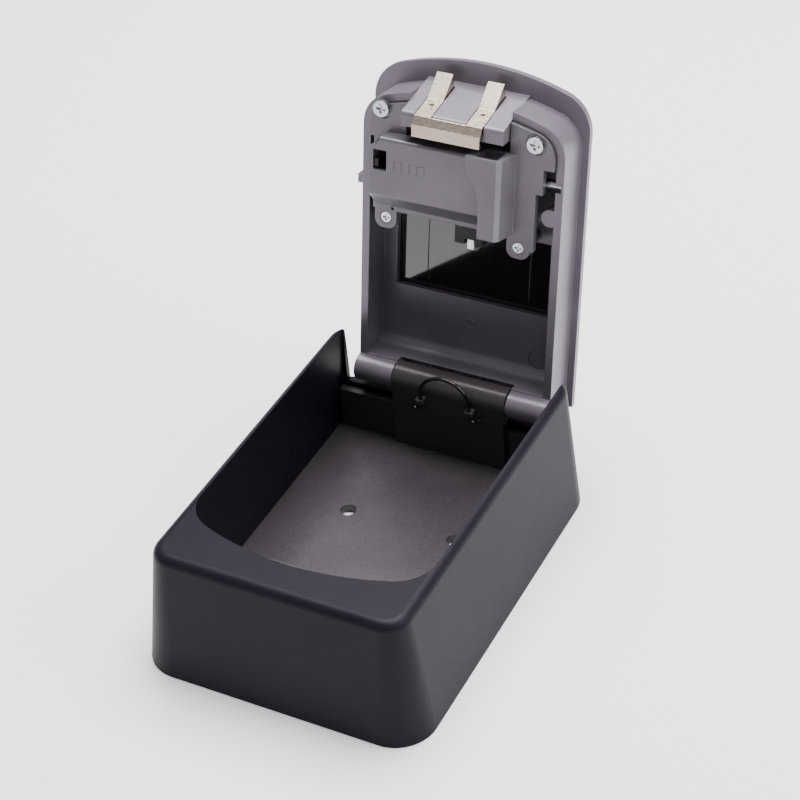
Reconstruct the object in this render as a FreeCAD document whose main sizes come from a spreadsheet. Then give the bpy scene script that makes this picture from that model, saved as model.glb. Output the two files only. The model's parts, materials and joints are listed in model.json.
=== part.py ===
import FreeCAD, Part
import math
import os
import re
import Sketcher

# Wall-mounted key cabinet lying on its back with its door open. X runs across, Y from the latch end
# to the hinge end, Z up from the wall face. Door pieces are drawn in the door's own axes: x across,
# y away from the hinge, z out of the door's inner side, with the hinge axis as their origin.

DIMS = {
    "body_width": 90,
    "body_length": 122,
    "body_height": 40.5,
    "draft": 5.6,
    "base_corner": 12,
    "top_corner": 7,
    "top_rounding": 3,
    "ear_rounding": 6,
    "opening_half": 37.2,
    "cavity_half": 40.2,
    "opening_start": 17,
    "cavity_start": 15.5,
    "far_wall": 3,
    "far_wall_top": 19.5,
    "plate_half": 40,
    "plate_start": 5,
    "plate_corner": 9,
    "plate_thick": 3,
    "seat_gap": 0.15,
    "wall_hole_radius": 2.5,
    "wall_hole_half": 18,
    "wall_hole_start": 30,
    "wall_hole_step": 50,
    "hinge_inset": 2.5,
    "hinge_height": 26.5,
    "barrel_radius": 4.8,
    "knuckle_radius": 4.4,
    "hinge_gap": 0.4,
    "notch_radius": 5.8,
    "barrel_half": 19,
    "pin_radius": 1.5,
    "pin_gap": 0.05,
    "pin_half": 31.5,
    "block_depth": 4.9,
    "ledge_top": 17.5,
    "ledge_inset": 5.7,
    "ledge_thick": 2.5,
    "hook_half": 8.3,
    "hook_end": 1.7,
    "hook_wire": 0.6,
    "hook_gap": 0.9,
    "hook_low": 22.4,
    "hook_shoulder": 26.3,
    "strike_half": 14,
    "strike_low": 35.8,
    "strike_thick": 1.2,
    "strike_edge": 20.6,
    "door_lean": 79,
    "door_length": 101.5,
    "door_half": 34.8,
    "arch_radius": 85,
    "door_corner": 12,
    "door_tail": 3,
    "lip_thick": 3,
    "plug_depth": 12,
    "plug_half": 32.4,
    "plug_length": 95,
    "plug_wall": 2.5,
    "floor_level": 10.5,
    "floor_bend": 4,
    "pocket_start": 5,
    "head_left": -17.1,
    "head_right": 15.4,
    "head_low": 85.2,
    "head_front": 6,
    "head_edge": 89.6,
    "head_top": 94.6,
    "channel_depth": 2.6,
    "channel_gap": 0.3,
    "window_half": 25.5,
    "window_low": 26,
    "window_high": 50,
    "recess_half": 27,
    "recess_low": 9,
    "recess_high": 81,
    "recess_depth": 2.4,
    "dial_count": 4,
    "dial_radius": 8.6,
    "dial_width": 7.6,
    "dial_pitch": 8.6,
    "dial_middle": -2.5,
    "dial_row": 68,
    "dial_level": 3.9,
    "wheel_radius": 4.8,
    "axle_radius": 2,
    "housing_left": -27,
    "housing_right": 17.8,
    "housing_low": 57,
    "housing_high": 80.4,
    "housing_face": 6.4,
    "housing_wall": 1.4,
    "housing_bevel": 5,
    "raised_left": 5.4,
    "raised_face": 9.5,
    "flange_top": 1.5,
    "flange_low": -1.1,
    "left_screw_x": -25.4,
    "left_screw_y": 87.6,
    "right_screw_x": 23.9,
    "right_screw_y": 85.9,
    "left_ear_x": -23.7,
    "left_ear_y": 53,
    "right_ear_x": 19.7,
    "right_ear_y": 52.5,
    "side_pin_y": 73,
    "side_pin_level": 2.6,
    "side_pin_radius": 1.4,
    "latch_middle": -1.9,
    "latch_half": 10.8,
    "latch_low": 83.4,
    "latch_thick": 1.2,
    "latch_face": 8,
    "catch_level": 9,
    "latch_tip": 98,
    "arm_width": 5.2,
    "button_half": 12,
    "button_low": 79.5,
    "button_high": 93,
    "shutter_half": 26.6,
    "shutter_low": 12,
    "shutter_high": 54,
    "shutter_thick": 2,
}

FLAT = FreeCAD.Rotation()
FLIPPED = FreeCAD.Rotation(FreeCAD.Vector(0, 0, 1), 180)
SIDEWAYS = FreeCAD.Rotation(FreeCAD.Vector(1, 1, 1), 120)
UPRIGHT = FreeCAD.Rotation(FreeCAD.Vector(1, 0, 0), 90)
ALONG_X = FreeCAD.Rotation(FreeCAD.Vector(0, 1, 0), 90)
ORIGIN_AXES = -1
Y_AXIS = -2
START = 1
END = 2
MIDDLE = 3

doc = FreeCAD.newDocument("key_cabinet")
sheet = doc.addObject("Spreadsheet::Sheet", "dims")
for row, (alias, value) in enumerate(DIMS.items(), start=1):
    sheet.set("A%d" % row, alias)
    sheet.set("B%d" % row, str(value))
    sheet.setAlias("B%d" % row, alias)
doc.recompute()

nodes = []


def expr(text):
    """Turn a rule written with dimension names into a spreadsheet expression."""
    return re.sub(r"[a-z]\w*", lambda m: "dims." + m.group() if m.group() in DIMS else m.group(), str(text))


def number(text):
    return float(sheet.evalExpression(expr(text)))


def bind(thing, prop, text):
    thing.setExpression(prop, expr(text))


def put(thing, at, turn=FLAT):
    thing.Placement = FreeCAD.Placement(FreeCAD.Vector(*[number(v) for v in at]), turn)
    for axis, text in zip("xyz", at):
        bind(thing, ".Placement.Base." + axis, text)
    return thing


def block(name, low, high):
    """A box between two corners."""
    thing = doc.addObject("Part::Box", name)
    for prop, a, b in zip(("Length", "Width", "Height"), low, high):
        bind(thing, prop, "(%s) - (%s)" % (b, a))
    return put(thing, low)


def rod(name, radius, length, at, turn=FLAT):
    thing = doc.addObject("Part::Cylinder", name)
    bind(thing, "Radius", radius)
    bind(thing, "Height", length)
    return put(thing, at, turn)


def fuse(name, things):
    thing = doc.addObject("Part::MultiFuse", name)
    thing.Shapes = things
    thing.Refine = True
    return thing


def cut(name, base, tools):
    thing = doc.addObject("Part::Cut", name)
    thing.Base = base
    thing.Tool = tools[0] if len(tools) == 1 else fuse(name + "_tools", tools)
    thing.Refine = True
    return thing


def common(name, things):
    thing = doc.addObject("Part::MultiCommon", name)
    thing.Shapes = things
    return thing


def extrude(name, sketch, length, along):
    thing = doc.addObject("Part::Extrusion", name)
    thing.Base = sketch
    thing.DirMode = "Custom"
    thing.Dir = FreeCAD.Vector(*along)
    thing.Solid = True
    bind(thing, "LengthFwd", length)
    return thing


def loft(name, sections):
    thing = doc.addObject("Part::Loft", name)
    thing.Sections = sections
    thing.Solid = True
    thing.Ruled = True
    return thing


def fillet(name, base, size, wanted):
    """Round the edges of base that wanted(edge) picks."""
    doc.recompute()
    radius = number(size)
    thing = doc.addObject("Part::Fillet", name)
    thing.Base = base
    thing.Edges = [(i, radius, radius) for i, edge in enumerate(base.Shape.Edges, start=1) if wanted(edge)]
    return thing


def measure(sketch, kind, what, text):
    """Hold one sketch size to a rule."""
    index = sketch.addConstraint(Sketcher.Constraint(kind, *what, number(text)))
    bind(sketch, "Constraints[%d]" % index, text)


def polygon(name, points, at=("0", "0", "0"), turn=FLAT):
    """A closed sketch with straight sides through the points."""
    sketch = doc.addObject("Sketcher::SketchObject", name)
    spots = [FreeCAD.Vector(number(x), number(y), 0) for x, y in points]
    for here, there in zip(spots, spots[1:] + spots[:1]):
        sketch.addGeometry(Part.LineSegment(here, there), False)
    for i in range(len(points)):
        sketch.addConstraint(Sketcher.Constraint("Coincident", i, END, (i + 1) % len(points), START))
    for i, (x, y) in enumerate(points):
        measure(sketch, "DistanceX", (ORIGIN_AXES, START, i, START), x)
        measure(sketch, "DistanceY", (ORIGIN_AXES, START, i, START), y)
    return put(sketch, at, turn)


def arc(middle, radius, begin, finish):
    circle = Part.Circle(FreeCAD.Vector(*middle, 0), FreeCAD.Vector(0, 0, 1), radius)
    return Part.ArcOfCircle(circle, math.radians(begin), math.radians(finish))


def line(here, there):
    return Part.LineSegment(FreeCAD.Vector(*here, 0), FreeCAD.Vector(*there, 0))


def rounded(name, low, high, radii, at=("0", "0", "0"), turn=FLAT):
    """A rectangle with rounded corners: radii go anticlockwise from the corner at low x and low y."""
    sketch = doc.addObject("Sketcher::SketchObject", name)
    x0, y0, x1, y1 = [number(v) for v in low + high]
    r = [number(v) for v in radii]
    pieces = [
        line((x0 + r[0], y0), (x1 - r[1], y0)),
        arc((x1 - r[1], y0 + r[1]), r[1], 270, 360),
        line((x1, y0 + r[1]), (x1, y1 - r[2])),
        arc((x1 - r[2], y1 - r[2]), r[2], 0, 90),
        line((x1 - r[2], y1), (x0 + r[3], y1)),
        arc((x0 + r[3], y1 - r[3]), r[3], 90, 180),
        line((x0, y1 - r[3]), (x0, y0 + r[0])),
        arc((x0 + r[0], y0 + r[0]), r[0], 180, 270),
    ]
    for piece in pieces:
        sketch.addGeometry(piece, False)
    for i in range(8):
        sketch.addConstraint(Sketcher.Constraint("Tangent", i, END, (i + 1) % 8, START))
    for i, kind in ((0, "Horizontal"), (2, "Vertical"), (4, "Horizontal"), (6, "Vertical")):
        sketch.addConstraint(Sketcher.Constraint(kind, i))
    for i, radius in zip((7, 1, 3, 5), radii):
        measure(sketch, "Radius", (i,), radius)
    measure(sketch, "DistanceX", (ORIGIN_AXES, START, 6, START), low[0])
    measure(sketch, "DistanceX", (ORIGIN_AXES, START, 2, START), high[0])
    measure(sketch, "DistanceY", (ORIGIN_AXES, START, 0, START), low[1])
    measure(sketch, "DistanceY", (ORIGIN_AXES, START, 4, START), high[1])
    return put(sketch, at, turn)


def arched(name, half, low, top, corner, at, turn=FLAT):
    """A door outline: square at its low end, with a shallow arch and round corners at its top."""
    sketch = doc.addObject("Sketcher::SketchObject", name)
    w, y0, y1, r, big = [number(v) for v in (half, low, top, corner, "arch_radius")]
    centre = y1 - big
    shoulder = centre + math.sqrt((big - r) ** 2 - (w - r) ** 2)
    turn_by = math.degrees(math.atan2(shoulder - centre, w - r))
    pieces = [
        line((-w, y0), (w, y0)),
        line((w, y0), (w, shoulder)),
        arc((w - r, shoulder), r, 0, turn_by),
        arc((0, centre), big, turn_by, 180 - turn_by),
        arc((r - w, shoulder), r, 180 - turn_by, 180),
        line((-w, shoulder), (-w, y0)),
    ]
    for piece in pieces:
        sketch.addGeometry(piece, False)
    for i, kind in enumerate(("Coincident", "Tangent", "Tangent", "Tangent", "Tangent", "Coincident")):
        sketch.addConstraint(Sketcher.Constraint(kind, i, END, (i + 1) % 6, START))
    for i, kind in ((0, "Horizontal"), (1, "Vertical"), (5, "Vertical")):
        sketch.addConstraint(Sketcher.Constraint(kind, i))
    measure(sketch, "Radius", (2,), corner)
    measure(sketch, "Radius", (3,), "arch_radius")
    measure(sketch, "Radius", (4,), corner)
    measure(sketch, "DistanceX", (ORIGIN_AXES, START, 0, START), "-(%s)" % half)
    measure(sketch, "DistanceX", (ORIGIN_AXES, START, 0, END), half)
    measure(sketch, "DistanceY", (ORIGIN_AXES, START, 0, START), low)
    sketch.addConstraint(Sketcher.Constraint("PointOnObject", 3, MIDDLE, Y_AXIS))
    measure(sketch, "DistanceY", (ORIGIN_AXES, START, 3, MIDDLE), "%s - arch_radius" % top)
    return put(sketch, at, turn)


def across(name, points, low, high):
    """A solid with the y, z outline given, running from x = low to x = high."""
    sketch = polygon(name + "_outline", points, (low, "0", "0"), SIDEWAYS)
    return extrude(name, sketch, "(%s) - (%s)" % (high, low), (1, 0, 0))


def body_node(label, things):
    """Finish one piece that stays with the cabinet body, seen from the middle of its back."""
    node = doc.addObject("Part::Compound", label)
    node.Links = things
    put(node, ("0", "-body_length / 2", "0"))
    nodes.append(node)


def door_node(label, things):
    """Finish one piece that is carried by the door, turned to where the open door stands."""
    node = doc.addObject("Part::Compound", label)
    node.Links = things
    lean = FreeCAD.Rotation(FreeCAD.Vector(1, 0, 0), number("door_lean"))
    put(node, ("0", "body_length / 2 - hinge_inset", "hinge_height"), lean)
    node.setExpression(".Placement.Rotation.Angle", "dims.door_lean * 1 deg")
    nodes.append(node)


def pan_screw(name, at, head_radius, head_height, shank_radius, shank_length):
    """A cross-recess screw with its head towards +z and its seat at the given point."""
    x, y, z = at
    head = rod(name + "_head", head_radius, head_height, at)
    shank = rod(name + "_shank", shank_radius, shank_length, (x, y, "(%s) - (%s)" % (z, shank_length)))
    top = "(%s) + (%s)" % (z, head_height)
    slots = []
    for i, (a, b) in enumerate((("0.62", "0.18"), ("0.18", "0.62"))):
        low = ("(%s) - %s * (%s)" % (x, a, head_radius), "(%s) - %s * (%s)" % (y, b, head_radius),
               "(%s) - 0.55 * (%s)" % (top, head_height))
        high = ("(%s) + %s * (%s)" % (x, a, head_radius), "(%s) + %s * (%s)" % (y, b, head_radius),
                "(%s) + 1" % top)
        slots.append(block("%s_slot_%d" % (name, i), low, high))
    return cut(name, fuse(name + "_blank", [head, shank]), slots)


def lengthwise(name, points, low, high):
    """A solid with the x, z outline given, running from y = low to y = high."""
    sketch = polygon(name + "_outline", points, ("0", low, "0"), UPRIGHT)
    return extrude(name, sketch, "(%s) - (%s)" % (high, low), (0, 1, 0))


def head_slope(z, drop="0"):
    """How far from the hinge the sloped top of the latch head lies at height z, less a drop."""
    rise = "(head_top - head_edge) * (head_front - (%s)) / (head_front + plug_depth)" % z
    return "(head_edge + %s - (%s))" % (rise, drop)


def arm_middle(side):
    return "(latch_middle + (%d) * (latch_half - arm_width / 2))" % side


HINGE_Y = "(body_length - hinge_inset)"
SCREW_SPOTS = (("left_screw_x", "left_screw_y"), ("right_screw_x", "right_screw_y"))
EAR_SPOTS = (("left_ear_x", "left_ear_y"), ("right_ear_x", "right_ear_y"))
DIAL_ROOM = ("dial_middle - dial_count * dial_pitch / 2 - 0.2",
             "dial_middle + dial_count * dial_pitch / 2 + 0.2")


# ---- moulded cover: a drafted shell with a U-shaped mouth that runs out at the hinge end
def make_cover():
    base = rounded("cover_base", ("-body_width / 2", "0"), ("body_width / 2", "body_length"),
                   ["base_corner"] * 4)
    top = rounded("cover_top", ("draft - body_width / 2", "draft"), ("body_width / 2 - draft", "body_length"),
                  ["top_corner"] * 4, ("0", "0", "body_height"))
    shell = loft("cover_shell", [base, top])
    height = number("body_height")
    shell = fillet("cover_rounded", shell, "top_rounding",
                   lambda edge: min(v.Z for v in edge.Vertexes) > height - 0.01)
    ears = rounded("cover_ears", ("-40", "-40"), ("body_length", "body_height"), ["ear_rounding"] * 4,
                   ("-body_width / 2", "0", "0"), SIDEWAYS)
    ears = extrude("cover_ear_limit", ears, "body_width", (1, 0, 0))
    shell = common("cover_outer", [shell, ears])
    low = arched("cavity_low", "cavity_half", "far_wall - hinge_inset", "%s - cavity_start" % HINGE_Y,
                 "door_corner", ("0", HINGE_Y, "-1"), FLIPPED)
    high = arched("cavity_high", "opening_half", "far_wall - hinge_inset", "%s - opening_start" % HINGE_Y,
                  "door_corner", ("0", HINGE_Y, "body_height + 1"), FLIPPED)
    cavity = loft("cavity", [low, high])
    mouth = block("far_mouth", ("-opening_half", "body_length - 9", "far_wall_top"),
                  ("opening_half", "body_length + 5", "body_height + 5"))
    seat = rounded("plate_seat", ("-plate_half - seat_gap", "plate_start - seat_gap"),
                   ("plate_half + seat_gap", "body_length - far_wall"),
                   ["plate_corner", "plate_corner", "0.5", "0.5"], ("0", "0", "-1"))
    seat = extrude("plate_pocket", seat, "plate_thick + seat_gap + 1", (0, 0, 1))
    hollow = block("near_hollow", ("-30", "9", "plate_thick"), ("30", "cavity_start - 2.2", "strike_low - 6"))
    slot = block("strike_slot", ("-strike_half - 0.05", "opening_start - 3.1", "strike_low - 0.05"),
                 ("strike_half + 0.05", "opening_start + 2", "strike_low + strike_thick + 0.05"))
    holes = [rod("cover_screw_hole_%d" % i, "1.25", "10", ("%s * 34" % side, "11", "plate_thick - 1"))
             for i, side in enumerate((-1, 1))]
    body_node("body_cover", [cut("cover", shell, [cavity, mouth, seat, hollow, slot] + holes)])


# ---- zinc back casting: plate, low end wall and the middle hinge barrel
def make_casting():
    plate = rounded("plate_edge", ("-plate_half", "plate_start"),
                    ("plate_half", "body_length - far_wall - 0.2"),
                    ["plate_corner", "plate_corner", "1", "1"])
    plate = extrude("plate", plate, "plate_thick", (0, 0, 1))
    wall_start = "body_length - ledge_inset"
    wall = block("end_wall", ("-plate_half + 1.2", wall_start, "plate_thick - 1"),
                 ("plate_half - 1.2", "%s + ledge_thick" % wall_start, "ledge_top"))
    pillar = block("hinge_pillar", ("-barrel_half", "%s - barrel_radius" % HINGE_Y, "plate_thick - 1"),
                   ("barrel_half", "%s - barrel_radius + block_depth - 0.7" % HINGE_Y, "hinge_height"))
    barrel = rod("barrel", "barrel_radius", "2 * barrel_half", ("-barrel_half", HINGE_Y, "hinge_height"),
                 ALONG_X)
    lug_y = "%s - barrel_radius - hook_gap - hook_wire" % HINGE_Y
    lugs = [block("hook_lug_%d" % i,
                  ("%s * hook_half - 1.3" % side, "%s - hook_wire - 0.5" % lug_y, "hook_low + 0.8"),
                  ("%s * hook_half + 1.3" % side, "%s - barrel_radius + 1" % HINGE_Y, "hook_low + 2.4"))
            for i, side in enumerate((-1, 1))]
    bore = rod("barrel_bore", "pin_radius + pin_gap", "2 * barrel_half + 2",
               ("-barrel_half - 1", HINGE_Y, "hinge_height"),
               ALONG_X)
    lug_holes = [rod("lug_hole_%d" % i, "hook_wire + pin_gap", "6",
                     ("%s * hook_half" % side, lug_y, "hook_low"))
                 for i, side in enumerate((-1, 1))]
    wall_holes = [rod("wall_hole_%d_%d" % (i, j), "wall_hole_radius", "plate_thick + 2",
                      ("%s * wall_hole_half" % side, "wall_hole_start + %d * wall_hole_step" % j, "-1"))
                  for i, side in enumerate((-1, 1)) for j in range(2)]
    screw_holes = [rod("plate_screw_hole_%d" % i, "1.6", "10", ("%s * 34" % side, "11", "-1"))
                   for i, side in enumerate((-1, 1))]
    sinks = [rod("plate_screw_sink_%d" % i, "2.9", "2.6", ("%s * 34" % side, "11", "-1"))
             for i, side in enumerate((-1, 1))]
    solid = fuse("casting_solid", [plate, wall, pillar, barrel] + lugs)
    body_node("body_casting", [cut("casting", solid, [bore] + lug_holes + wall_holes + screw_holes + sinks)])


def make_body_fittings():
    body_node("hinge_pin",
              [rod("pin", "pin_radius", "2 * pin_half", ("-pin_half", HINGE_Y, "hinge_height"), ALONG_X)])

    path = doc.addObject("Sketcher::SketchObject", "hook_path")
    half, end, low, high = [number(v) for v in ("hook_half", "hook_end", "hook_low", "hook_shoulder")]
    pieces = [
        arc((-half - end, low), end, 180, 360),
        line((-half, low), (-half, high)),
        arc((0, high), half, 0, 180),
        line((half, high), (half, low)),
        arc((half + end, low), end, 180, 360),
    ]
    for piece in pieces:
        path.addGeometry(piece, False)
    joins = ((0, END, 1, START), (1, END, 2, END), (2, START, 3, START), (3, END, 4, START))
    for join in joins:
        path.addConstraint(Sketcher.Constraint("Tangent", *join))
    measure(path, "Radius", (0,), "hook_end")
    measure(path, "Radius", (2,), "hook_half")
    measure(path, "Radius", (4,), "hook_end")
    path.addConstraint(Sketcher.Constraint("PointOnObject", 2, MIDDLE, Y_AXIS))
    measure(path, "DistanceY", (ORIGIN_AXES, START, 2, MIDDLE), "hook_shoulder")
    measure(path, "DistanceY", (ORIGIN_AXES, START, 0, START), "hook_low")
    measure(path, "DistanceY", (ORIGIN_AXES, START, 4, END), "hook_low")
    hook_y = "%s - barrel_radius - hook_gap - hook_wire" % HINGE_Y
    put(path, ("0", hook_y, "0"), UPRIGHT)
    ring = doc.addObject("Sketcher::SketchObject", "hook_section")
    ring.addGeometry(Part.Circle(FreeCAD.Vector(0, 0, 0), FreeCAD.Vector(0, 0, 1), number("hook_wire")),
                     False)
    ring.addConstraint(Sketcher.Constraint("Coincident", 0, MIDDLE, ORIGIN_AXES, START))
    measure(ring, "Radius", (0,), "hook_wire")
    put(ring, ("-hook_half - 2 * hook_end", hook_y, "hook_low"))
    wire = doc.addObject("Part::Sweep", "hook_wire")
    wire.Sections = [ring]
    wire.Spine = (path, ["Edge%d" % (i + 1) for i in range(len(pieces))])
    wire.Solid = True
    body_node("key_hook", [wire])

    body_node("latch_strike", [block("strike", ("-strike_half", "opening_start - 3", "strike_low"),
                                     ("strike_half", "strike_edge", "strike_low + strike_thick"))])

    screws = []
    for i, side in enumerate((-1, 1)):
        head = rod("cover_screw_head_%d" % i, "2.8", "1.4", ("%s * 34" % side, "11", "0.15"))
        shank = rod("cover_screw_shank_%d" % i, "1.2", "9", ("%s * 34" % side, "11", "1"))
        screws.append(fuse("cover_screw_%d" % i, [head, shank]))
    body_node("cover_screws", screws)


# ---- door casting: arched lip plate, a walled plug behind it, two hinge knuckles and the latch head
def make_door():
    back = "-plug_depth - lip_thick"
    lip = arched("lip_edge", "door_half", "-door_tail", "door_length", "door_corner", ("0", "0", back))
    lip = extrude("lip", lip, "lip_thick", (0, 0, 1))
    doc.recompute()
    front = number(back)
    lip = fillet("lip_rounded", lip, "1.2",
                 lambda edge: max(v.Z for v in edge.Vertexes) < front + 0.01 and edge.BoundBox.YMax > 0)
    plug = arched("plug_edge", "plug_half", "-door_tail + 1", "plug_length", "door_corner - 2",
                  ("0", "0", "-plug_depth - 1"))
    plug = extrude("plug", plug, "plug_depth + 1", (0, 0, 1))
    knuckles = rod("knuckles", "knuckle_radius", "2 * plug_half", ("-plug_half", "0", "0"), ALONG_X)
    pocket = arched("pocket_edge", "plug_half - plug_wall", "-door_tail - 5", "plug_length - plug_wall",
                    "door_corner - 4", ("0", "0", "-floor_level"))
    pocket = extrude("pocket_plan", pocket, "floor_level + 10", (0, 0, 1))
    bend = rounded("pocket_side", ("pocket_start", "-floor_level"), ("plug_length + 10", "10"),
                   ["floor_bend", "1", "1", "1"], ("-plug_half", "0", "0"), SIDEWAYS)
    bend = extrude("pocket_profile", bend, "2 * plug_half", (1, 0, 0))
    pocket = common("pocket", [pocket, bend])
    tail = across("tail_trim", [("-20", "-6.2"), ("-3.2", "-6.2"), ("-door_tail + 1", "-3"),
                                ("-door_tail + 1", "20"), ("-20", "20")], "-plug_half - 1", "plug_half + 1")
    relief = across("head_relief", [(head_slope("-plug_depth"), "-plug_depth"), (head_slope("8"), "8"),
                                    ("plug_length + 1", "8"), ("plug_length + 1", "-plug_depth")],
                    "head_left", "head_right")
    solid = cut("door_blank", fuse("door_solid", [lip, plug]), [tail, pocket, relief])
    tab = block("side_tab", ("-plug_half - 1.8", "61.6", "-3.6"), ("-plug_half + 0.5", "64.4", "-0.4"))
    solid = fuse("door_with_knuckles", [solid, knuckles, tab])
    notch = rod("barrel_notch", "notch_radius", "2 * barrel_half + 2 * hinge_gap",
                ("-barrel_half - hinge_gap", "0", "0"), ALONG_X)
    notch_top = block("notch_top", ("-barrel_half - hinge_gap", "-notch_radius - 2.4", "-0.5"),
                      ("barrel_half + hinge_gap", "notch_radius", "10"))
    bore = rod("knuckle_bore", "pin_radius + pin_gap", "2 * pin_half + 0.2", ("-pin_half - 0.1", "0", "0"),
               ALONG_X)
    window = block("window", ("-window_half", "window_low", back + " - 1"),
                   ("window_half", "window_high", "-floor_level + 1"))
    recess = block("shutter_recess", ("-recess_half", "recess_low", back + " - 1"),
                   ("recess_half", "recess_high", back + " + recess_depth"))
    grooves = block("shutter_grooves", ("-recess_half - 1.5", "recess_low", back + " + 1.2"),
                    ("recess_half + 1.5", "recess_high", back + " + recess_depth"))
    reach = "(dial_count * dial_pitch / 2)"
    dial_slot = block("dial_slot", ("dial_middle - %s" % reach, "dial_row - 6.2", back + " - 1"),
                      ("dial_middle + %s" % reach, "dial_row + 6.2", "-floor_level + 1"))
    ring = cut("ejector_mark", rod("ejector_outer", "3.2", "2", ("23.2", "11.2", "-floor_level - 0.3")),
               [rod("ejector_inner", "2.8", "3", ("23.2", "11.2", "-floor_level - 0.5"))])
    shell = cut("door_open", solid, [notch, notch_top, bore, window, recess, grooves, dial_slot, ring])

    root = "-plug_depth - 0.5"
    head = across("head_solid", [("head_low", root), ("head_low", "head_front"),
                                 (head_slope("head_front"), "head_front"), (head_slope(root), root)],
                  "head_left", "head_right")
    edge_y = number("head_edge")
    head = fillet("head_soft", head, "1.4",
                  lambda edge: edge.BoundBox.YMin > edge_y - 0.01 and edge.BoundBox.ZMin > 0)
    bosses = [rod("screw_boss_%d" % i, "3.4", "floor_level + flange_low - 0.05", (x, y, "-floor_level"))
              for i, (x, y) in enumerate(SCREW_SPOTS)]
    bosses += [rod("ear_boss_%d" % i, "2.4", "floor_level + flange_low - 0.05", (x, y, "-floor_level"))
               for i, (x, y) in enumerate(EAR_SPOTS)]
    post = rod("side_post", "2.7", "floor_level", ("28.6", "63.2", "-floor_level"))
    mark = rod("floor_mark", "1.6", "0.3", ("0", "18", "-floor_level - 0.05"))
    solid = fuse("door_fused", [shell, head, post, mark] + bosses)

    channels = []
    for i, side in enumerate((-1, 1)):
        channels.append(across("channel_%d" % i,
                               [(head_slope("9", "channel_depth"), "9"),
                                (head_slope("-catch_level - 0.6", "channel_depth"), "-catch_level - 0.6"),
                                ("plug_length + 1", "-catch_level - 0.6"), ("plug_length + 1", "9")],
                               "%s - arm_width / 2 - channel_gap" % arm_middle(side),
                               "%s + arm_width / 2 + channel_gap" % arm_middle(side)))
    web_room = block("web_room", ("latch_middle - 4.2", "head_low - 1", "-floor_level"),
                     ("latch_middle + 4.2", "latch_low + 4.1", "head_front + 1"))
    stem_room = block("stem_room", ("latch_middle - 4.2", "latch_low - 1.5", back + " - 1"),
                      ("latch_middle + 4.2", "latch_low + 7", "-8.6"))
    holes = [rod("screw_boss_hole_%d" % i, "1.3", "9", (x, y, "-9")) for i, (x, y) in enumerate(SCREW_SPOTS)]
    holes += [rod("ear_boss_hole_%d" % i, "0.95", "8", (x, y, "-8")) for i, (x, y) in enumerate(EAR_SPOTS)]
    holes.append(rod("mark_hollow", "1.1", "1", ("0", "18", "-floor_level")))
    pin_seat = rod("pin_seat", "side_pin_radius + pin_gap", "3", ("28.6", "side_pin_y", "-side_pin_level"),
                   ALONG_X)
    pin_mouth = block("pin_mouth", ("28.6", "side_pin_y - side_pin_radius - pin_gap", "-side_pin_level"),
                      ("31.6", "side_pin_y + side_pin_radius + pin_gap", "2"))
    tools = channels + holes + [web_room, stem_room, pin_seat, pin_mouth]
    door_node("door_casting", [cut("door", solid, tools)])


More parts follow.
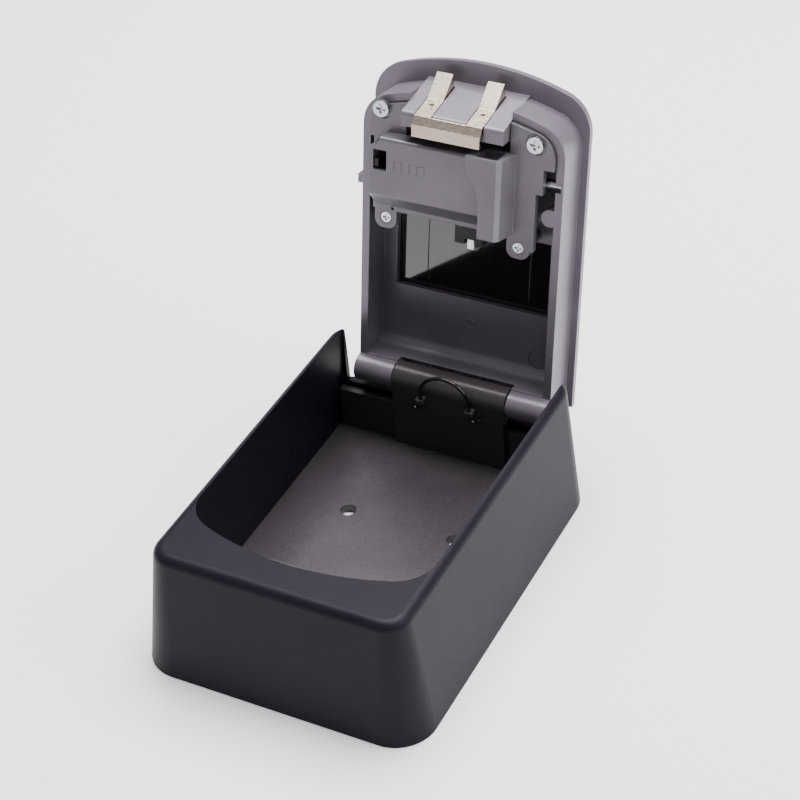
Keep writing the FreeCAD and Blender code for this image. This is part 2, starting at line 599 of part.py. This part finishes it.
# ---- lock housing: a zinc box over the dials on a thin flange, with a taller box at its right
def make_housing():
    seat = "-floor_level + 0.05"
    outline = [("housing_low", seat), ("housing_low", "flange_top"),
               ("housing_low + housing_bevel", "housing_face"),
               ("housing_high", "housing_face"), ("housing_high", seat)]
    outer = across("housing_outer", outline, "housing_left", "14")
    face = number("housing_face")
    outer = fillet("housing_soft", outer, "0.9",
                   lambda edge: edge.BoundBox.ZMin > face - 0.01 and edge.BoundBox.XLength > 1)
    section = [("raised_left", seat), ("raised_left", "raised_face"), ("15.2", "raised_face"),
               ("16.4", "raised_face - 1.2"), ("housing_right", "flange_top"), ("housing_right", seat)]
    raised = lengthwise("raised_block", section, "housing_low - 0.5", "housing_high + 1.1")
    plan = [("raised_left", "housing_high + 2"), ("raised_left", "77.5"), ("9", "72.5"), ("10", "68"),
            ("10", "housing_low - 1"), ("30", "housing_low - 1"), ("30", "housing_high + 2")]
    sides = extrude("raised_sides", polygon("raised_plan", plan, ("0", "0", "-20")), "40", (0, 0, 1))
    raised = common("raised_box", [raised, sides])
    flat = [("main", "housing_left - 1", "housing_low - 1.4", "24.4", "housing_high"),
            ("strip", "20", "52", "24.4", "housing_low"),
            ("side", "20", "70.5", "26.5", "housing_high + 2")]
    plates = [block("flange_" + word, (x0, y0, "flange_low"), (x1, y1, "flange_top"))
              for word, x0, y0, x1, y1 in flat]
    for i, (x, y) in enumerate(EAR_SPOTS):
        ear = rounded("ear_edge_%d" % i, (x + " - 3.6", y + " - 3.4"), (x + " + 3.6", "housing_low + 1"),
                      ["2.8", "2.8", "0.4", "0.4"], ("0", "0", "flange_low"))
        plates.append(extrude("ear_%d" % i, ear, "flange_top - flange_low", (0, 0, 1)))
    limit = arched("bracket_limit", "plug_half - plug_wall - 0.25", "70", "plug_length - plug_wall - 0.25",
                   "door_corner - 4.25", ("0", "0", "flange_low"))
    limit = extrude("bracket_plan", limit, "flange_top - flange_low", (0, 0, 1))
    corners = [block("bracket_block_%d" % i, (x0, "housing_high - 2", "flange_low - 1"),
                     (x1, "plug_length", "flange_top + 1"))
               for i, (x0, x1) in enumerate((("-plug_half", "head_left - 0.4"),
                                             ("head_right + 0.4", "plug_half")))]
    plates.append(common("brackets", [limit, fuse("bracket_blocks", corners)]))
    bars = [block("raised_bar_%d" % i, ("-20.6 + 2.5 * %d" % i, "70.8", "housing_face - 0.3"),
                  ("-19 + 2.5 * %d" % i, "73.6", "housing_face + 0.25")) for i in range(5)]

    inner = [("housing_low + housing_wall", "-floor_level - 1"),
             ("housing_low + housing_wall", "flange_top - 0.6"),
             ("housing_low + housing_bevel + 0.6", "housing_face - housing_wall"),
             ("housing_high - housing_wall", "housing_face - housing_wall"),
             ("housing_high - housing_wall", "-floor_level - 1")]
    room = across("dial_room", inner, *DIAL_ROOM)
    reset_room = across("reset_room", inner, "housing_left + housing_wall", "%s - 1.3" % DIAL_ROOM[0])
    reset_slot = block("reset_slot", ("housing_left + 1.2", "70", "0"), ("housing_left + 5.6", "76.4", "20"))
    latch_slot = block("latch_slot", ("8.2", "74", "2"), ("14.8", "housing_high + 3", "raised_face - 1.2"))
    corner = rod("corner_notch", "3.2", "20", ("housing_left", "housing_high", "flange_top"))
    axle = rod("axle_hole", "axle_radius + 0.02", "dial_count * dial_pitch + 4",
               ("%s - 2" % DIAL_ROOM[0], "dial_row", "-dial_level"), ALONG_X)
    post = rod("post_room", "3.1", "20", ("28.6", "63.2", "-8"))
    holes = [rod("bracket_hole_%d" % i, "1.6", "20", (x, y, "-9")) for i, (x, y) in enumerate(SCREW_SPOTS)]
    holes += [rod("bracket_recess_%d" % i, "3.3", "3", (x, y, "flange_top - 0.5"))
              for i, (x, y) in enumerate(SCREW_SPOTS)]
    holes += [rod("ear_hole_%d" % i, "1.1", "20", (x, y, "-9")) for i, (x, y) in enumerate(EAR_SPOTS)]
    holes += [rod("ear_recess_%d" % i, "1.9", "3", (x, y, "flange_top - 1.2"))
              for i, (x, y) in enumerate(EAR_SPOTS)]
    holes += [rod("locating_hole_%d" % i, "0.5", "6", (x, "housing_low - 0.7", "-2"))
              for i, x in enumerate(("left_ear_x + 2.2", "right_ear_x - 5"))]
    tools = [room, reset_room, reset_slot, latch_slot, corner, axle, post] + holes
    door_node("lock_housing", [cut("housing", fuse("housing_solid", [outer, raised] + plates + bars), tools)])


def make_door_fittings():
    door_node("bracket_screws",
              [pan_screw("bracket_screw_%d" % i, (x, y, "flange_top - 0.45"), "2.5", "1.8", "1.25", "8")
                                 for i, (x, y) in enumerate(SCREW_SPOTS)])
    door_node("ear_screws",
              [pan_screw("ear_screw_%d" % i, (x, y, "flange_top - 1.15"), "1.7", "1", "0.9", "6")
                             for i, (x, y) in enumerate(EAR_SPOTS)])
    door_node("dial_axle", [rod("axle", "axle_radius", "dial_count * dial_pitch + 3",
                                ("%s - 1.3" % DIAL_ROOM[0], "dial_row", "-dial_level"), ALONG_X)])

    leaf = block("leaf", ("dial_middle - 16", "housing_high - 2.1", "-8"),
                 ("dial_middle + 16", "housing_high - 1.45", "3"))
    gaps = [block("leaf_gap_%d" % i,
                  ("dial_middle + %s * dial_pitch - 0.5" % (i - 1), "housing_high - 4", "-9"),
                  ("dial_middle + %s * dial_pitch + 0.5" % (i - 1), "housing_high", "1")) for i in range(3)]
    door_node("detent_spring", [cut("detent_leaf", leaf, gaps)])

    grip = block("detent_grip", ("-3.9", "46.6", "-floor_level + 0.05"), ("5.2", "housing_low - 0.1", "-5.5"))
    gate = block("detent_gate", ("-0.6", "46", "-12"), ("3", "48.35", "-4"))
    door_node("shutter_detent", [cut("detent_clip", grip, [gate])])
    tongue = across("tongue",
                    [("48.3", "-7.2"), ("48.3", "-6"), ("45", "-6"), ("43.8", "-8"), ("43.8", "-12.4"),
                               ("44.8", "-12.4"), ("44.8", "-8.4"), ("45.6", "-7.2")], "0.2", "2.2")
    door_node("detent_tongue", [tongue])

    side_pin = rod("side_pin_rod", "side_pin_radius", "7", ("24.6", "side_pin_y", "-side_pin_level"), ALONG_X)
    door_node("side_pin", [side_pin])


def make_dials():
    for i in range(DIMS["dial_count"]):
        middle = "(dial_middle + (%s) * dial_pitch)" % (i - 1.5)
        start = "%s - dial_width / 2" % middle
        ring = rod("dial_ring_%d" % i, "dial_radius", "dial_width", (start, "dial_row", "-dial_level"),
                   ALONG_X)
        tools = [rod("dial_bore_%d" % i, "wheel_radius + 0.05", "dial_width + 2",
                     ("%s - 1" % start, "dial_row", "-dial_level"), ALONG_X)]
        for k in range(10):
            angle = "%d deg" % (36 * k)
            tools.append(rod("dial_groove_%d_%d" % (i, k), "0.9", "dial_width + 2",
                             ("%s - 1" % start, "dial_row + (dial_radius + 0.35) * cos(%s)" % angle,
                              "-dial_level + (dial_radius + 0.35) * sin(%s)" % angle), ALONG_X))
        door_node("dial_%d" % (i + 1), [cut("dial_body_%d" % i, ring, tools)])
        hub = rod("hub_%d" % i, "wheel_radius", "dial_width - 0.4",
                  ("%s + 0.2" % start, "dial_row", "-dial_level"), ALONG_X)
        hole = rod("hub_hole_%d" % i, "axle_radius + 0.05", "dial_width + 2",
                   ("%s - 1" % start, "dial_row", "-dial_level"), ALONG_X)
        gate = block("hub_gate_%d" % i,
                     ("%s - 1" % start, "dial_row + wheel_radius - 1.2", "-dial_level - 1.2"),
                     ("%s + 3" % start, "dial_row + wheel_radius + 2", "-dial_level + 1.2"))
        door_node("code_wheel_%d" % (i + 1), [cut("hub_body_%d" % i, hub, [hole, gate])])


# ---- release: the button on the door's face and the two-armed latch plate move as one
def make_release():
    under = "latch_thick * 1.03"
    inside = "latch_face - latch_thick"
    shoulder = [("latch_low + 3.8", "latch_face"), (head_slope("head_front + 0.4"), "head_front + 0.4")]
    bend = (head_slope("head_front + 0.4", under), "head_front + 0.4")
    front = [("latch_low", "latch_face")] + shoulder + [bend, ("latch_low + 3.8", inside), ("latch_low", inside)]
    pieces = [across("latch_bar", front, "latch_middle - latch_half", "latch_middle + latch_half")]
    pieces.append(rod("latch_roll", "0.85", "2 * latch_half",
                      ("latch_middle - latch_half", "latch_low + 0.75", "latch_face - 0.85"), ALONG_X))
    profile = shoulder + [(head_slope("-2"), "-2"), ("latch_tip", "-catch_level + 0.8"),
                          ("latch_tip", "-catch_level"), (head_slope("-catch_level", under), "-catch_level"),
                          bend, ("latch_low + 3.8", inside)]
    dimples = []
    for i, side in enumerate((-1, 1)):
        middle = arm_middle(side)
        pieces.append(across("latch_arm_%d" % i, profile, middle + " - arm_width / 2",
                             middle + " + arm_width / 2"))
        dimples.append(rod("latch_dimple_%d" % i, "0.8", "3", (middle, head_slope("0.6", "0.6"), "0.6"),
                           FreeCAD.Rotation(FreeCAD.Vector(1, 0, 0), -75)))
    pieces.append(block("latch_web", ("latch_middle - 3.6", "latch_low", "-plug_depth + 1"),
                        ("latch_middle + 3.6", "latch_low + latch_thick", inside + " + 0.5")))
    door_node("latch_plate", [cut("latch", fuse("latch_solid", pieces), dimples)])

    face = "-plug_depth - lip_thick"
    cap = rounded("button_edge", ("-button_half", "button_low"), ("button_half", "button_high"), ["3"] * 4,
                  ("0", "0", "%s - 2.6" % face))
    cap = extrude("button_cap", cap, "2.4", (0, 0, 1))
    doc.recompute()
    edge_level = number("%s - 2.6" % face)
    cap = fillet("button_soft", cap, "0.8", lambda edge: edge.BoundBox.ZMax < edge_level + 0.01)
    stem = block("button_stem", ("latch_middle - 3.6", "latch_low + latch_thick + 0.05", "%s - 1" % face),
                 ("latch_middle + 3.6", "latch_low + latch_thick + 3", "-plug_depth + 3"))
    door_node("open_button", [fuse("button", [cap, stem])])


def make_reset():
    left = "housing_left + 1.6"
    lever = block("lever_blade", (left, "71", "-2"), (left + " + 1.2", "73.4", "housing_face - 0.3"))
    foot = block("lever_foot", (left, "62", "-5"), (left + " + 1.2", "75.6", "-1.8"))
    door_node("reset_lever", [fuse("lever", [lever, foot])])
    door_node("reset_slide", [block("slide", (left, "60", "-8"), (left + " + 1.2", "78.4", "-5.1"))])


def make_shutter():
    back = "-plug_depth - lip_thick"
    top = back + " + 0.15 + shutter_thick"
    panel = block("shutter_panel", ("-shutter_half", "shutter_low", back + " + 0.15"),
                  ("shutter_half", "shutter_high", top))
    flanges = block("shutter_flanges", ("-shutter_half - 1.4", "shutter_low", back + " + 1.4"),
                    ("shutter_half + 1.4", "shutter_high", top))
    grips = [block("shutter_grip_%d" % i, ("-14", "18 + %d * 2.6" % i, back + " - 0.75"),
                   ("14", "19.2 + %d * 2.6" % i, back + " + 0.5")) for i in range(4)]
    seams = [block("shutter_seam_%d" % i, (x + " - 0.2", "shutter_low - 1", top + " - 0.25"),
                   (x + " + 0.2", "shutter_high + 1", "-5"))
             for i, x in enumerate(("-15.8", "18.3"))]
    door_node("shutter", [cut("shutter_body", fuse("shutter_solid", [panel, flanges] + grips), seams)])


make_cover()
make_casting()
make_body_fittings()
make_door()
make_housing()
make_door_fittings()
make_dials()
make_release()
make_reset()
make_shutter()
doc.recompute()

for thing in doc.Objects:
    bad = [state for state in thing.State if state in ("Invalid", "Error")]
    if bad:
        raise RuntimeError("%s is %s" % (thing.Label, bad))
for node in nodes:
    if node.Shape.isNull() or not node.Shape.isValid() or not node.Shape.Solids:
        raise RuntimeError("%s has no valid solid" % node.Label)
    print("%-18s solids %d volume %.1f" % (node.Label, len(node.Shape.Solids), node.Shape.Volume))

os.makedirs("parts", exist_ok=True)
for node in nodes:
    node.Shape.exportStep("parts/%s.step" % node.Label)
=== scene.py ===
import json
import math

import bmesh
import bpy
from mathutils import Matrix, Vector


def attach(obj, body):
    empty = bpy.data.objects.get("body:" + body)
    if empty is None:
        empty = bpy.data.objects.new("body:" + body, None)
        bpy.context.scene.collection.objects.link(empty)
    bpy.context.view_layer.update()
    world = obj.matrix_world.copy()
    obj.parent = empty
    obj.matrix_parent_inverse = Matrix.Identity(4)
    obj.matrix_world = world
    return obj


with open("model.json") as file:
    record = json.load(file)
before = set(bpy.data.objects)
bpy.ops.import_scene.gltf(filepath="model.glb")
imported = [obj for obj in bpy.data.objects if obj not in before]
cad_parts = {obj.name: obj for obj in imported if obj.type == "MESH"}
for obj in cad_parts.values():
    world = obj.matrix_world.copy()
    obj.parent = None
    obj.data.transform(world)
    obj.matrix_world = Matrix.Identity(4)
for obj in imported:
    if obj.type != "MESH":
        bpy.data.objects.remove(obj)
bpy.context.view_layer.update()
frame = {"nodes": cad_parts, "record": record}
nodes = frame["nodes"]

MM = 0.001


# ---- materials -------------------------------------------------------------------------------
NOISE_LOW = 0.3             # noise seldom leaves the range from NOISE_LOW to NOISE_HIGH
NOISE_HIGH = 0.7
TONE_SCALE = 60.0           # slow changes of tone over a piece
FINE_DETAIL = 4.0
GRAIN_HEIGHT = 0.1 * MM
EDGE_STARTS = 0.99          # agreement of the flat and the rounded normal where an edge starts to show
EDGE_FULL = 0.80


def new_material(name, colour, roughness, metallic=0.0, coat=0.0, specular=0.5):
    """A plain shader with its constants set on its own sockets."""
    mat = bpy.data.materials.new(name)
    mat.use_nodes = True
    tree = mat.node_tree
    shader = tree.nodes["Principled BSDF"]
    shader.inputs["Base Color"].default_value = (*colour, 1)
    shader.inputs["Roughness"].default_value = roughness
    shader.inputs["Metallic"].default_value = metallic
    shader.inputs["Coat Weight"].default_value = coat
    shader.inputs["Specular IOR Level"].default_value = specular
    return mat, tree, shader


def object_noise(tree, scale, detail=3.0, stretch=(1, 1, 1)):
    """Noise laid on the object's own coordinates, from 0 to 1."""
    coords = tree.nodes.new("ShaderNodeTexCoord")
    mapping = tree.nodes.new("ShaderNodeMapping")
    mapping.inputs["Scale"].default_value = stretch
    noise = tree.nodes.new("ShaderNodeTexNoise")
    noise.inputs["Scale"].default_value = scale
    noise.inputs["Detail"].default_value = detail
    tree.links.new(coords.outputs["Object"], mapping.inputs["Vector"])
    tree.links.new(mapping.outputs["Vector"], noise.inputs["Vector"])
    return noise.outputs["Fac"]


def spread(tree, value, low, high):
    """Carry a noise value to the range low to high."""
    ranged = tree.nodes.new("ShaderNodeMapRange")
    ranged.inputs["From Min"].default_value = NOISE_LOW
    ranged.inputs["From Max"].default_value = NOISE_HIGH
    ranged.inputs["To Min"].default_value = low
    ranged.inputs["To Max"].default_value = high
    tree.links.new(value, ranged.inputs["Value"])
    return ranged.outputs["Result"]


def tint(tree, value, dark, light):
    """A colour between two tones by a noise value."""
    ramp = tree.nodes.new("ShaderNodeValToRGB")
    ramp.color_ramp.elements[0].position = NOISE_LOW
    ramp.color_ramp.elements[1].position = NOISE_HIGH
    ramp.color_ramp.elements[0].color = (*dark, 1)
    ramp.color_ramp.elements[1].color = (*light, 1)
    tree.links.new(value, ramp.inputs["Fac"])
    return ramp.outputs["Color"]


def bump(tree, shader, value, strength, distance, normal):
    """Relief from a 0 to 1 value, laid over an incoming normal."""
    node = tree.nodes.new("ShaderNodeBump")
    node.inputs["Strength"].default_value = strength
    node.inputs["Distance"].default_value = distance
    tree.links.new(value, node.inputs["Height"])
    tree.links.new(normal, node.inputs["Normal"])
    tree.links.new(node.outputs["Normal"], shader.inputs["Normal"])


def scaled(colour, by):
    """A colour made darker or lighter, no channel past white."""
    return tuple(min(1.0, c * by) for c in colour)


def soft_edges(tree, radius):
    """A normal that rounds the sharp edges, and how near the point is to such an edge."""
    rounded = tree.nodes.new("ShaderNodeBevel")
    rounded.samples = 4
    rounded.inputs["Radius"].default_value = radius
    geometry = tree.nodes.new("ShaderNodeNewGeometry")
    alike = tree.nodes.new("ShaderNodeVectorMath")
    alike.operation = "DOT_PRODUCT"
    tree.links.new(rounded.outputs["Normal"], alike.inputs[0])
    tree.links.new(geometry.outputs["Normal"], alike.inputs[1])
    nearness = tree.nodes.new("ShaderNodeMapRange")
    nearness.inputs["From Min"].default_value = EDGE_STARTS
    nearness.inputs["From Max"].default_value = EDGE_FULL
    tree.links.new(alike.outputs["Value"], nearness.inputs["Value"])
    return rounded.outputs["Normal"], nearness.outputs["Result"]


def surface(name, colour, roughness, metallic=0.0, coat=0.0, grain=900.0, relief=0.15, tone=0.1, wear=0.06,
            stretch=(1, 1, 1), edge=0.25, edge_tone=1.5, specular=0.5):
    """A material with tone, gloss and relief that vary finely over the piece, paler along its edges."""
    mat, tree, shader = new_material(name, colour, roughness, metallic, coat, specular)
    slow = object_noise(tree, TONE_SCALE)
    fine = object_noise(tree, grain, FINE_DETAIL, stretch)
    base = tint(tree, slow, scaled(colour, 1 - tone), scaled(colour, 1 + tone))
    normal, nearness = soft_edges(tree, edge * MM)
    mix = tree.nodes.new("ShaderNodeMix")
    mix.data_type = "RGBA"
    mix.inputs["B"].default_value = (*scaled(colour, edge_tone), 1)
    tree.links.new(nearness, mix.inputs["Factor"])
    tree.links.new(base, mix.inputs["A"])
    tree.links.new(mix.outputs["Result"], shader.inputs["Base Color"])
    tree.links.new(spread(tree, fine, roughness - wear, roughness + wear), shader.inputs["Roughness"])
    bump(tree, shader, fine, relief, GRAIN_HEIGHT, normal)
    return mat


FINISHES = {
    "cover_plastic": dict(colour=(0.0075, 0.0058, 0.0115), roughness=0.42, grain=2600, relief=0.5,
                          edge_tone=3.0, specular=0.10),
    "zinc_casting": dict(colour=(0.052, 0.045, 0.052), roughness=0.30, metallic=0.3, grain=1500,
                         relief=0.25, specular=0.2),
    "zinc_door": dict(colour=(0.168, 0.146, 0.180), roughness=0.38, metallic=0.45, grain=1500,
                      relief=0.25),
    "zinc_housing": dict(colour=(0.140, 0.126, 0.145), roughness=0.34, metallic=0.45, grain=1500,
                         relief=0.3),
    "steel_pin": dict(colour=(0.6, 0.6, 0.62), roughness=0.25, metallic=1.0),
    "hook_wire": dict(colour=(0.05, 0.05, 0.055), roughness=0.2, metallic=0.9),
    "strike_steel": dict(colour=(0.05, 0.05, 0.055), roughness=0.35, metallic=0.8),
    "screw_steel": dict(colour=(0.55, 0.56, 0.60), roughness=0.2, metallic=1.0),
    "spring_steel": dict(colour=(0.8, 0.8, 0.8), roughness=0.3, metallic=1.0),
    "black_plastic": dict(colour=(0.006, 0.006, 0.008), roughness=0.3, specular=0.3),
    "latch_nickel": dict(colour=(0.52, 0.43, 0.36), roughness=0.26, metallic=1.0, grain=700,
                         stretch=(1, 12, 12), relief=0.35, wear=0.1, tone=0.14, edge_tone=1.25),
    "button_plastic": dict(colour=(0.012, 0.012, 0.014), roughness=0.34, relief=0.06, grain=2600,
                           specular=0.3),
    "shutter_plastic": dict(colour=(0.009, 0.006, 0.009), roughness=0.06, coat=0.6, relief=0.0,
                            wear=0.02, specular=0.6),
    "dial_plastic": dict(colour=(0.02, 0.02, 0.024), roughness=0.45),
    "wheel_brass": dict(colour=(0.72, 0.52, 0.25), roughness=0.3, metallic=1.0),
}
MATERIALS = {slot: surface(slot, **finish) for slot, finish in FINISHES.items()}
DIGIT_PAINT = surface("digit_paint", (0.75, 0.75, 0.73), 0.6, relief=0.05)
SLOT_OF = {part["node"]: part["material_slot"] for part in frame["record"]["subparts"]}
for name, node in nodes.items():
    node.data.materials.clear()
    node.data.materials.append(MATERIALS[SLOT_OF[name]])


# ---- digits on the dials ----------------------------------------------------------------------
HINGE = (0, 58.5 * MM, 26.5 * MM)
DOOR = Matrix.Translation(HINGE) @ Matrix.Rotation(math.radians(79), 4, "X")
DIAL_COUNT = 4
DIGITS = 10
DIGIT_STEP = math.radians(360 / DIGITS)
FACING_OUT = math.radians(-90)      # the side of a dial that shows on the door's outer face
DIAL_ROW = 68 * MM                  # from the hinge axis
DIAL_LEVEL = -3.9 * MM              # from the hinge axis, towards the outer face
DIAL_MIDDLE = -2.5 * MM             # the middle of the row of dials, across the door
DIAL_PITCH = 8.6 * MM
DIAL_RADIUS = 8.6 * MM
DIGIT_SIZE = 4.6 * MM
DIGIT_DEPTH = 0.06 * MM


def digit_mesh(digit):
    """The outline of one numeral as a thin solid lying in the xy plane."""
    text = bpy.data.curves.new("numeral", "FONT")
    text.body = str(digit)
    text.size = DIGIT_SIZE
    text.extrude = DIGIT_DEPTH
    text.align_x = "CENTER"
    text.align_y = "CENTER"
    holder = bpy.data.objects.new("numeral", text)
    bpy.context.scene.collection.objects.link(holder)
    bpy.context.view_layer.update()
    mesh = bpy.data.meshes.new_from_object(holder.evaluated_get(bpy.context.evaluated_depsgraph_get()))
    bpy.data.objects.remove(holder)
    return mesh


def make_digits(dial):
    """Painted numerals round one dial, 0 facing out at rest."""
    from_middle = dial - (DIAL_COUNT - 1) / 2
    middle = Vector((DIAL_MIDDLE + from_middle * DIAL_PITCH, DIAL_ROW, DIAL_LEVEL))
    rightward = Vector((-1, 0, 0))
    joined = bmesh.new()
    for digit in range(DIGITS):
        angle = DIGIT_STEP * digit + FACING_OUT
        outward = Vector((0, math.cos(angle), math.sin(angle)))
        upward = outward.cross(rightward)
        turn = Matrix((rightward, upward, outward)).transposed().to_4x4()
        place = DOOR @ Matrix.Translation(middle + outward * DIAL_RADIUS) @ turn
        mesh = digit_mesh(digit)
        mesh.transform(place)
        joined.from_mesh(mesh)
    number = dial + 1
    name = "dial_digits_%d" % number
    data = bpy.data.meshes.new(name)
    joined.to_mesh(data)
    joined.free()
    data.materials.append(DIGIT_PAINT)
    piece = bpy.data.objects.new(name, data)
    bpy.context.scene.collection.objects.link(piece)
    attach(piece, "dial_wheel_%d" % number)


for dial in range(DIAL_COUNT):
    make_digits(dial)


# ---- floor, light and camera -----------------------------------------------------------------
FLOOR_SIZE = 8.0
FLOOR_GAP = 0.2 * MM        # the floor lies this far under the box
LIGHT_TARGET = Vector((0, 0.02, 0.04))


def make_floor():
    mat, _, _ = new_material("floor_paper", (0.90, 0.90, 0.90), 0.9)
    bpy.ops.mesh.primitive_plane_add(size=FLOOR_SIZE, location=(0, 0, -FLOOR_GAP))
    floor = bpy.context.object
    floor.name = "floor"
    floor.data.materials.append(mat)


def area_light(name, place, size, power):
    """A rectangular lamp that faces the box."""
    data = bpy.data.lights.new(name, "AREA")
    data.shape = "RECTANGLE"
    data.size, data.size_y = size
    data.energy = power
    lamp = bpy.data.objects.new(name, data)
    lamp.location = place
    lamp.rotation_euler = (LIGHT_TARGET - Vector(place)).to_track_quat("-Z", "Y").to_euler()
    bpy.context.scene.collection.objects.link(lamp)


def make_lights():
    world = bpy.data.worlds.new("studio")
    world.use_nodes = True
    background = world.node_tree.nodes["Background"]
    background.inputs["Color"].default_value = (1, 1, 1, 1)
    background.inputs["Strength"].default_value = 0.45
    bpy.context.scene.world = world
    area_light("key", (0.80, 0.15, 0.60), (0.6, 0.6), 5.0)
    area_light("top", (0.0, 0.35, 1.1), (1.0, 0.8), 43.0)


def make_camera():
    """A long lens that looks down on the near right corner of the box, turned a little about its axis."""
    azimuth = math.radians(29.6)
    elevation = math.radians(38.3)
    roll = math.radians(-4.76)
    distance = 0.631
    target = Vector((0, 0.0249, 0.0469))
    level = math.cos(elevation)
    back = Vector((math.sin(azimuth) * level, -math.cos(azimuth) * level, math.sin(elevation)))
    right = (-back).cross(Vector((0, 0, 1))).normalized()
    up = back.cross(right)
    rolled_right = right * math.cos(roll) + up * math.sin(roll)
    rolled_up = up * math.cos(roll) - right * math.sin(roll)
    turn = Matrix((rolled_right, rolled_up, back)).transposed()
    data = bpy.data.cameras.new("camera")
    data.sensor_width = 36
    data.lens = 97.3
    data.clip_start = 0.01
    camera = bpy.data.objects.new("camera", data)
    camera.matrix_world = Matrix.Translation(target + back * distance) @ turn.to_4x4()
    bpy.context.scene.collection.objects.link(camera)
    bpy.context.scene.camera = camera


make_floor()
make_lights()
make_camera()
